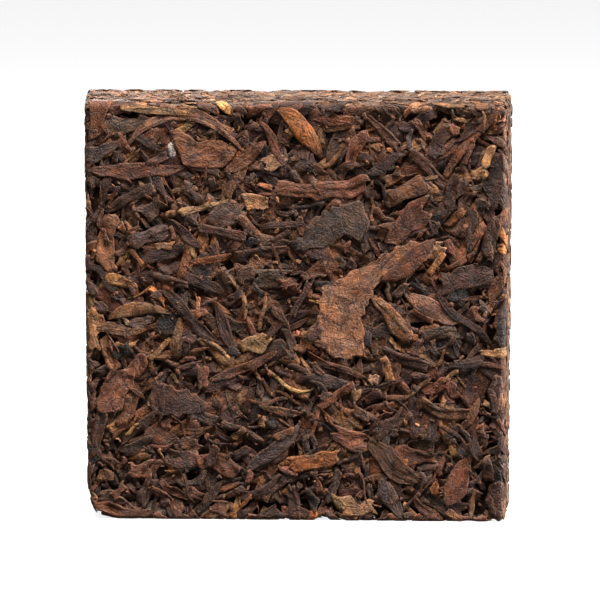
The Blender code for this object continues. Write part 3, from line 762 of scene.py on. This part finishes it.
FRONT_SPACING = 0.55  # between their corners
FRONT_PIECES = (
    # bottom left
    (-46.7, -27.9, 12, 4, 84, "crumpled", "dark"),
    (-41.4, -46.9, 14, 3.6, -4, "rolled", "red", 0.6), (-36.7, -37.1, 6, 5, 10, "crumpled", "red"),
    (-35.5, -42.1, 7.5, 5, 60, "folded", "dark"), (-26.7, -34.8, 10, 6, -8, "torn", "grey"),
    (-18.3, -36.2, 10, 5.5, -12, "torn", "red"), (-38, -31.5, 9, 3, 20, "rolled", "dark", 0.8),
    (-31.9, -31.4, 7, 0.9, 12, "wire", "red", 0.5),
    (-27.5, -42.5, 11, 3, -24, "rolled", "brown", 0.7), (-20.5, -44, 9, 3.4, 52, "pointed", "dark"),
    (-24, -28.2, 9, 2.6, 18, "rolled", "brown", 0.4),
    # bottom middle
    (-8, -41.5, 11, 4, 30, "folded", "dark"), (-14, -46, 10, 1, 38, "wire", "orange", 0.9),
    (-0.5, -45.2, 9, 3.5, -82, "folded", "dark"), (-6.4, -20.7, 9, 1, 4, "wire", "brown", 0.6),
    (5.2, -24.3, 10, 0.9, 66, "wire", "red", -0.5),
    (-3.3, -23.1, 11, 2.5, -12, "pointed", "brown", 0.8),
    (-12.5, -28, 10, 3.4, -30, "folded", "dark"), (0.5, -38.2, 9, 3.2, 20, "rolled", "dark"),
    (4.3, -34.3, 10.5, 5.5, 12, "crumpled", "orange"), (12.9, -29.5, 8.5, 6, -25, "torn", "red"),
    (14.8, -45.7, 6.5, 6, 0, "crumpled", "tan"), (9, -41, 8, 3.5, 70, "folded", "grey"),
    # bottom right
    (22.4, -43.3, 11, 5, -62, "pointed", "grey"),
    (31.2, -46.4, 9.5, 2.5, -45, "rolled", "brown", 0.4),
    (47.1, -43.3, 8, 5.5, 80, "folded", "dark"), (32.9, -41, 3.3, 2.5, 70, "chip", "orange"),
    (22.9, -35, 15, 6.2, -36, "rolled", "brown", 0.8),
    (46.9, -30.5, 7.5, 2, 70, "rolled", "dark", 2.4), (37.9, -39.5, 12, 6.5, 66, "pointed", "red"),
    (42.1, -30.2, 9, 2.8, -78, "rolled", "dark", 1), (27.9, -23.1, 13, 3, 88, "rolled", "dark"),
    (32, -27.6, 8, 2.6, 74, "rolled", "dark"), (35.2, -22.4, 12, 4, -10, "folded", "brown", 1.4),
    (41.2, -23.6, 9, 2.5, 64, "pointed", "red"), (32.4, -17.1, 5.5, 5, 10, "torn", "red"),
    (46.5, -18.5, 9, 3.6, 82, "folded", "dark"),
    # lower left and middle
    (-43.3, -18.3, 11, 9.5, 60, "torn", "red"), (-36.9, -12.4, 6, 5, 70, "folded", "red"),
    (-27.6, -21.6, 13, 9, -2, "arrow", "dark"), (-31.5, -21.4, 9, 2.2, 84, "rolled", "dark"),
    (-37.1, -27.1, 13, 3, 46, "pointed", "dark"), (-38.8, -27.6, 4.6, 0.9, 45, "wire", "gold"),
    (-5.2, -32.1, 18, 4, 42, "pointed", "grey", 0.8),
    (-1.9, -16.6, 12, 1, -24, "wire", "gold", 1.6), (-19.3, -8.8, 9, 3.5, -40, "folded", "tan"),
    (-19, -16.6, 10, 3, 14, "rolled", "dark", 0.5),
    (-12.1, -12.6, 17, 2.6, 24, "rolled", "red", 0.6),
    (9.5, -12.4, 15, 2, -24, "rolled", "brown", 0.4), (19, -17.2, 12, 3, 12, "rolled", "dark", 0.6),
    (9.6, -19.2, 10, 3, 34, "folded", "brown"), (22.5, -25.5, 9, 4.5, 40, "folded", "dark"),
    # middle of the left
    (-47.4, -4, 9.5, 4.6, 84, "crumpled", "tan"), (-41.2, -9, 5, 4.5, 20, "torn", "black"),
    (-31.9, -8.6, 7, 1.2, 48, "stalk", "tan"), (-27.9, -6, 9.5, 3.3, 88, "rolled", "olive"),
    (-23.1, -0.2, 5, 3, 20, "torn", "red"), (-21.7, 6.9, 10, 3, -30, "rolled", "dark"),
    (-25.2, -0.7, 17, 3.2, -42, "rolled", "dark", 0.5), (-16.9, -3.3, 11, 3, -68, "rolled", "dark"),
    (-41, -4, 11, 3.5, -4, "rolled", "olive", 0.5),
    (-37.1, 0.2, 15, 4, 6, "pointed", "olive", -1.8),
    (-45, 7.9, 12, 2.2, -42, "rolled", "dark", -1.4),
    (-31.2, 13.8, 11, 3.6, 20, "rolled", "dark", 0.4),
    (-20, 12.6, 10, 2, 12, "rolled", "orange", 0.4), (-44.8, 12.4, 7, 1.2, -40, "stalk", "tan"),
    (-41.4, 7.4, 5.7, 3.3, -14, "chip", "orange"), (-37.1, 12.9, 4.5, 1.2, -50, "stalk", "orange"),
    (-29.5, 7.8, 9, 3, -16, "folded", "dark"),
    # middle
    (-9.8, -6.9, 6.2, 5.7, 0, "crumpled", "tan"), (-2.1, -2.1, 12, 2.6, 32, "rolled", "dark", -1.2),
    (-11.7, 8.8, 4.5, 4, 30, "crumpled", "dark"), (-13.2, 4.2, 12, 1.1, -70, "wire", "tan", -1.6),
    (-6, 8.1, 7.6, 6.2, 0, "torn", "grey"), (4.3, 9.8, 6, 4.5, 30, "crumpled", "brown"),
    (-8, 14.6, 12, 3.4, 8, "folded", "dark"), (3, 14.8, 10, 2.8, -20, "rolled", "dark"),
    (1.2, 3.4, 9, 3, 64, "folded", "dark"),
    # middle of the right
    (48.1, -4.3, 5.5, 4.5, 80, "torn", "black"), (46.7, -8.8, 6.2, 3.3, 10, "crumpled", "tan"),
    (45, -11.7, 7.6, 1.3, -5, "stalk", "brown"), (38.4, -12, 12, 3.2, 20, "rolled", "dark"),
    (25.5, -10.5, 12, 3.4, -20, "folded", "dark"), (33.8, -4.5, 9.5, 6.5, 8, "folded", "grey"),
    (28, -5.5, 2.4, 1.8, 0, "chip", "orange"), (22.4, -1, 12, 6, -55, "folded", "olive"),
    (32.4, 1.4, 16, 5.5, -25, "pointed", "rust", 0.6),
    (39.5, -1.2, 18, 2.4, -43, "rolled", "dark", 0.6), (40, 8.6, 14, 7.5, 12, "torn", "dark"),
    (32.4, 14.8, 4.6, 4, 20, "crumpled", "tan"), (32.9, 11.9, 6, 1.6, 55, "stalk", "tan"),
    (40.7, 19.8, 11, 3, 86, "rolled", "dark"), (46, 18.5, 10, 5, 80, "folded", "dark"),
    (46.6, 6, 8, 3, 76, "rolled", "brown"),
    # top left
    (-44.3, 16.9, 12, 6, 80, "torn", "red"), (-34.3, 18.1, 8, 6.5, 10, "folded", "grey"),
    (-45.5, 26.5, 12, 3, 70, "rolled", "dark"), (-39, 26.8, 12, 4, 24, "folded", "dark"),
    (-33.8, 24.5, 7, 5, 40, "torn", "grey"), (-29.5, 23.3, 3, 2, 10, "chip", "tan"),
    (-21.2, 25, 12, 3.6, 14, "crumpled", "tan", 0.4), (-26, 18.5, 10, 2.6, -36, "rolled", "dark"),
    (-17, 18.8, 11, 3.6, -10, "folded", "dark"), (-9.3, 26.2, 6, 5.5, 0, "crumpled", "tan"),
    (-14, 31, 9, 3.2, 60, "folded", "brown"), (-45.5, 37.6, 7.6, 5.7, 20, "crumpled", "grey"),
    (-37.5, 33.3, 24, 4.8, 2, "pointed", "brown", 0.6), (-29, 38.1, 3.6, 2, 84, "chip", "pale"),
    (-20.7, 33.3, 6.7, 3, -25, "torn", "grey"), (-21.2, 38.1, 12.5, 9.5, -10, "torn", "brown"),
    (-11.7, 36.4, 12, 3.4, 38, "rolled", "red", 0.6), (-5, 34.8, 5, 4.6, 0, "crumpled", "tan"),
    (-5, 39.3, 15, 2.8, -58, "rolled", "brown"), (-36, 40.5, 11, 2.4, -30, "rolled", "dark"),
    (-39.5, 43.4, 10, 5.5, 5, "crumpled", "grey"), (-45.2, 46, 9, 7.5, 80, "crumpled", "brown"),
    (-25.7, 43.3, 27, 3.5, -2, "rolled", "rust", -7.6),
    (-32.6, 46.8, 16, 1.7, -5, "stalk", "tan", 0.2),
    # top middle
    (-3.3, 20.7, 10, 2, 11, "rolled", "dark"), (8.6, 44.8, 9, 2, -8, "rolled", "red", 0.3),
    (14, 38.1, 8, 5, 70, "crumpled", "brown"), (1.4, 42.4, 15, 5.8, -46, "pointed", "orange", -0.8),
    (6.2, 29, 21, 6.5, 3, "folded", "red", 0.6), (21, 35, 10, 3, 30, "rolled", "dark"),
    (8.1, 19.4, 18.8, 9.5, 24.6, "broad", "grey"),
    # top right
    (20.5, 42.5, 10, 3.2, -50, "folded", "dark"), (28.5, 45, 10, 2.6, 20, "rolled", "dark"),
    (33.5, 40, 7, 5.5, 60, "torn", "dark"), (37, 43, 3, 2.8, 0, "chip", "red"),
    (31, 34, 12, 3.4, -40, "folded", "dark"), (43, 33, 4, 3, 20, "chip", "tan"),
    (46, 26.5, 10, 2.6, 78, "rolled", "dark"), (36, 27.5, 11, 3, 72, "rolled", "dark"),
    (26, 21, 10.5, 9, 30, "torn", "brown"), (25.7, 29, 10, 6.5, 28, "folded", "red"),
    (41, 40.4, 20.5, 1.9, 51, "stalk", "brown", -0.8), (46, 45, 6, 0.7, 72, "wire", "orange", 0.4),
    (43.6, 44.6, 5, 0.6, 96, "wire", "tan", 0.3),
    # the great leaf right of the middle, and the fold along it
    (20.6, 2.8, 35.4, 11, 50.5, "great", "rust"), (26.4, 12.4, 16, 5, 38, "pointed", "brown", 0.5),
    (18.2, 8.6, 16.5, 1.3, 51, "rolled", "rust", 0.3),
)

for row in FRONT_PIECES:
    lay(Piece("front", *row), FRONT_SPACING)
fill("front", "small", 140)


# Crumbs that came loose and were pressed into the gaps
CRUMBS = {"front": 420, "back": 300, "top": 120, "left": 100, "right": 100}
CRUMB_SIZE = (0.5, 1.5)
CRUMB_SPACING = 0.6  # between their corners

for side, count in CRUMBS.items():
    reach = REACH[side]
    for _ in range(count):
        middles = rng.uniform(-1, 1, (TRIES, 2)) * reach[:2]
        spot = middles[np.argmin(tea_height(side, middles[:, 0], middles[:, 1]))]
        length = rng.uniform(*CRUMB_SIZE)
        size = (length, length * rng.uniform(0.4, 0.9))
        tone = rng.choice(["brown", "dark", "red", "dark", "brown", "tan"])
        crumb = Piece(side, *spot, *size, rng.uniform(0, 360), "chip", tone)
        lay_leaf(crumb, CRUMB_SPACING)


# What the surfaces are made of. Dry tea leaf is dull, with a faint waxy shine on the ridges, a
# net of cracks drawn dark as painted shade, painted shade in the wrinkle valleys and painted
# highlight on their ridges, blotches where the ferment bit deeper, and paler rims, partly broken
# edges and partly painted highlight.

BLOTCH_SIZE = 2.6
SPECK_SIZE = 0.42
PATCH_SIZE = 3.5  # of the reddish and the greyish patches
FIBRE_LENGTH = 6.0
CRACK_SPACING = 4.2
CRACK_WIDTH = 0.14
CRACK_BEND = 1.6  # how far the cracks wander


def leaf_material(name, fibre_width, fibre_depth, wrinkle_size, wrinkle_depth, roughness):
    """The colour of each piece, with painted shade in the gaps and painted light on the thin sides,
    is in the attribute leaf_colour_and_painted_light, and its rim in another. The map leaf_mm runs
    along and across the piece."""
    material = bpy.data.materials.new(name)
    material.use_nodes = True
    tree = material.node_tree
    shader = tree.nodes["Principled BSDF"]

    def noise(vector, scale, detail, distortion):
        return add(tree, "TexNoise", {
            "Vector": vector, "Scale": scale, "Detail": detail, "Roughness": 0.6,
            "Distortion": distortion,
        }).outputs["Fac"]

    def stretched(along, beside):
        scale = (MAP_UNIT / along, MAP_UNIT / beside, 1.0)
        return add(tree, "Mapping", {"Vector": flat, "Scale": scale}).outputs["Vector"]

    def ranged(value, low, high, to_low, to_high):
        return add(tree, "MapRange", {
            "Value": value, "From Min": low, "From Max": high, "To Min": to_low, "To Max": to_high,
        }).outputs["Result"]

    def maths(operation, first, second=0.0):
        return add(tree, "Math", {0: first, 1: second}, operation=operation).outputs["Value"]

    def mixed(factor, first, second):
        inputs = {"Fac": factor, "Color1": first, "Color2": second}
        return add(tree, "MixRGB", inputs).outputs["Color"]

    places = add(tree, "TexCoord").outputs["Object"]
    flat = add(tree, "UVMap", uv_map="leaf_mm").outputs["UV"]
    own = add(tree, "Attribute", attribute_name="leaf_colour_and_painted_light").outputs["Color"]
    rim = add(tree, "Attribute", attribute_name="rim").outputs["Fac"]
    blotches = noise(places, 1 / (BLOTCH_SIZE * MM), 5.0, 0.0)
    specks = noise(places, 1 / (SPECK_SIZE * MM), 4.0, 0.0)
    fibres = noise(stretched(FIBRE_LENGTH, fibre_width), 1.0, 3.0, 0.4)
    # A wrinkle is where this pattern passes its middle value: a sharp valley between round ridges
    wrinkles = noise(stretched(*wrinkle_size), 1.0, 3.0, 0.6)
    wrinkles = maths("MINIMUM", maths("ABSOLUTE", maths("SUBTRACT", wrinkles, 0.5)), 0.16)
    # Reddish brown and grey brown patches
    warmth = ranged(noise(places, 1 / (PATCH_SIZE * MM), 3.0, 0.5), 0.38, 0.62, 0.0, 1.0)
    tint = mixed(warmth, (0.90, 0.90, 0.92, 1), (1.30, 1.04, 0.76, 1))
    tinted = add(tree, "VectorMath", {0: own, 1: tint}, operation="MULTIPLY").outputs["Vector"]
    shade = ranged(blotches, 0.3, 0.7, 0.55, 1.5)
    shade = maths("MULTIPLY", shade, ranged(specks, 0.3, 0.7, 0.62, 1.45))
    shade = maths("MULTIPLY", shade, ranged(fibres, 0.3, 0.7, 0.82, 1.2))
    # Painted shade in the wrinkle valleys and painted highlight on their ridges
    shade = maths("MULTIPLY", shade, ranged(wrinkles, 0.0, 0.08, 0.62, 1.12))
    # Fine cracks between the brittle fields of the leaf, drawn dark as painted shade
    wander = add(tree, "TexNoise", {"Vector": places, "Scale": 1 / (1.5 * MM), "Detail": 2.0})
    bent = add(tree, "VectorMath", {
        0: wander.outputs["Color"], "Scale": CRACK_BEND * MM,
    }, operation="SCALE").outputs["Vector"]
    bent = add(tree, "VectorMath", {0: places, 1: bent}, operation="ADD").outputs["Vector"]
    fields = add(tree, "TexVoronoi", {
        "Vector": bent, "Scale": 1 / (CRACK_SPACING * MM),
    }, feature="DISTANCE_TO_EDGE").outputs["Distance"]
    shaded_cracks = ranged(fields, 0.0, CRACK_WIDTH / CRACK_SPACING, 0.0, 1.0)
    # painted shade along the cracks
    shade = maths("MULTIPLY", shade, ranged(shaded_cracks, 0.0, 1.0, 0.45, 1.0))
    shaded = add(tree, "VectorMath", {0: tinted, "Scale": shade}, operation="SCALE")
    # Paler rims: partly broken, worn edges, partly painted highlight where edges catch the light
    rim_wear_and_highlight = mixed(maths("MULTIPLY", rim, 0.25), shaded.outputs["Vector"], (*linear("#7c553a"), 1))
    tree.links.new(rim_wear_and_highlight, shader.inputs["Base Color"])
    normal = None
    for height, depth in (
        (wrinkles, wrinkle_depth), (fibres, fibre_depth), (specks, 0.25), (shaded_cracks, 0.12),
    ):
        bump = add(tree, "Bump", {"Height": height, "Distance": depth * MM})
        if normal:
            tree.links.new(normal, bump.inputs["Normal"])
        normal = bump.outputs["Normal"]
    tree.links.new(normal, shader.inputs["Normal"])
    tree.links.new(ranged(blotches, 0.3, 0.7, roughness, roughness + 0.2), shader.inputs["Roughness"])
    shader.inputs["Specular IOR Level"].default_value = 0.28
    return material


dry_leaf = leaf_material("ripe_pu_erh_leaf", 2.2, 0.22, (2.6, 1.9), 0.9, 0.46)
rolled_leaf = leaf_material("rolled_pu_erh_leaf", 0.8, 0.45, (3.0, 1.2), 1.3, 0.46)
stalk_wood = leaf_material("dry_tea_stalk", 0.35, 0.35, (6.0, 2.0), 1.0, 0.55)
MATERIALS = {"rolled_leaves": rolled_leaf, "stalks": stalk_wood}


def joined_mesh(name, pieces):
    """One mesh of all the pieces of a kind, with the colour, rim and map of each."""
    first = np.cumsum([0] + [len(piece.points) for piece in pieces])
    points = np.concatenate([piece.points for piece in pieces]) * MM
    triangles = [piece.pattern.triangles + start for piece, start in zip(pieces, first)]
    triangles = np.concatenate(triangles)
    smooth = np.concatenate([piece.pattern.smooth for piece in pieces])
    mesh = bpy.data.meshes.new(name)
    mesh.vertices.add(len(points))
    mesh.vertices.foreach_set("co", points.ravel())
    mesh.loops.add(triangles.size)
    mesh.loops.foreach_set("vertex_index", triangles.ravel())
    mesh.polygons.add(len(triangles))
    mesh.polygons.foreach_set("loop_start", np.arange(0, triangles.size, 3))
    mesh.polygons.foreach_set("use_smooth", smooth)
    mesh.update(calc_edges=True)
    mesh.validate()
    colours = np.concatenate([piece.colours for piece in pieces])
    colours = np.concatenate([colours, np.ones((len(colours), 1))], 1)
    colour = mesh.attributes.new("leaf_colour_and_painted_light", "FLOAT_COLOR", "POINT")
    colour.data.foreach_set("color", colours.ravel())
    rim = mesh.attributes.new("rim", "FLOAT", "POINT")
    rim.data.foreach_set("value", np.concatenate([piece.rim for piece in pieces]))
    flat = np.concatenate([piece.uv for piece in pieces])
    loops = np.empty(len(mesh.loops), int)
    mesh.loops.foreach_get("vertex_index", loops)
    uv = mesh.uv_layers.new(name="leaf_mm")
    uv.data.foreach_set("uv", flat[loops].ravel())
    return mesh


for name, pieces in sorted(laid_pieces.items()):
    mesh = joined_mesh(name, pieces)
    kind_name = name.rsplit("_", 1)[0]
    mesh.materials.append(MATERIALS.get(kind_name, dry_leaf))
    group = bpy.data.objects.new(name, mesh)
    bpy.context.scene.collection.objects.link(group)
    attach(group, "root")
    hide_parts("tea_brick")


# The room: a pale floor and a white backdrop far round it, which the camera sees, while the brick
# is lit by a dim white room, a large soft light overhead, a weaker one at the right and a weak one
# behind.


def glowing_white(name, glow):
    material = bpy.data.materials.new(name)
    material.use_nodes = True
    shader = material.node_tree.nodes["Principled BSDF"]
    for socket, value in {
        "Base Color": (0.3, 0.3, 0.3, 1), "Roughness": 0.9, "Specular IOR Level": 0.0,
        "Emission Color": (1, 1, 1, 1), "Emission Strength": glow,
    }.items():
        shader.inputs[socket].default_value = value
    return material


bpy.ops.object.select_all(action="DESELECT")
bpy.ops.mesh.primitive_plane_add(size=12)
floor = bpy.context.object
floor.name = "pale_floor"
floor.data.materials.append(glowing_white("pale_floor", 0.80))
bpy.ops.mesh.primitive_uv_sphere_add(segments=48, ring_count=24, radius=5.5)
backdrop = bpy.context.object
backdrop.name = "white_backdrop"
backdrop.data.materials.append(glowing_white("white_backdrop", 1.0))
for surface in (floor, backdrop):
    surface.visible_diffuse = False
    surface.visible_glossy = False
backdrop.visible_shadow = False

world = bpy.data.worlds.new("dim_white_room")
bpy.context.scene.world = world
world.use_nodes = True
glow = world.node_tree.nodes["Background"]
glow.inputs["Color"].default_value = (1, 1, 1, 1)
glow.inputs["Strength"].default_value = 0.2


def soft_light(name, place, size, power):
    """A square light that faces the brick's middle, with its place in metres."""
    light = bpy.data.lights.new(name, "AREA")
    light.size = size
    light.energy = power
    lamp = bpy.data.objects.new(name, light)
    lamp.location = place
    aim = Vector((0, 0, HEIGHT / 2 * MM)) - Vector(place)
    lamp.rotation_euler = aim.to_track_quat("-Z", "Y").to_euler()
    bpy.context.scene.collection.objects.link(lamp)


soft_light("overhead_light", (0.05, -0.19, 0.78), 0.55, 22.0)
soft_light("right_light", (0.75, -0.03, 0.15), 0.30, 17.0)
soft_light("back_light", (-0.30, 0.75, 0.20), 0.50, 9.0)

# The camera: a long lens, a little above and to the right of the brick
CAMERA_TURN = math.radians(2.4)
CAMERA_RISE = math.radians(9.0)
CAMERA_DISTANCE = 0.856  # in metres
AIM_RIGHT = 1.0
AIM_UP = 2.55
aim = Vector((AIM_RIGHT, -HALF[1], HALF[2] + AIM_UP)) * MM
way = Vector((
    math.sin(CAMERA_TURN) * math.cos(CAMERA_RISE),
    -math.cos(CAMERA_TURN) * math.cos(CAMERA_RISE),
    math.sin(CAMERA_RISE),
))
lens = bpy.data.cameras.new("camera")
lens.lens = 225
lens.clip_start = 0.01
camera = bpy.data.objects.new("camera", lens)
camera.location = aim + way * CAMERA_DISTANCE
camera.rotation_mode = "QUATERNION"
camera.rotation_quaternion = (-way).to_track_quat("-Z", "Y")
bpy.context.scene.collection.objects.link(camera)
bpy.context.scene.camera = camera
bpy.context.scene.view_settings.view_transform = "Standard"
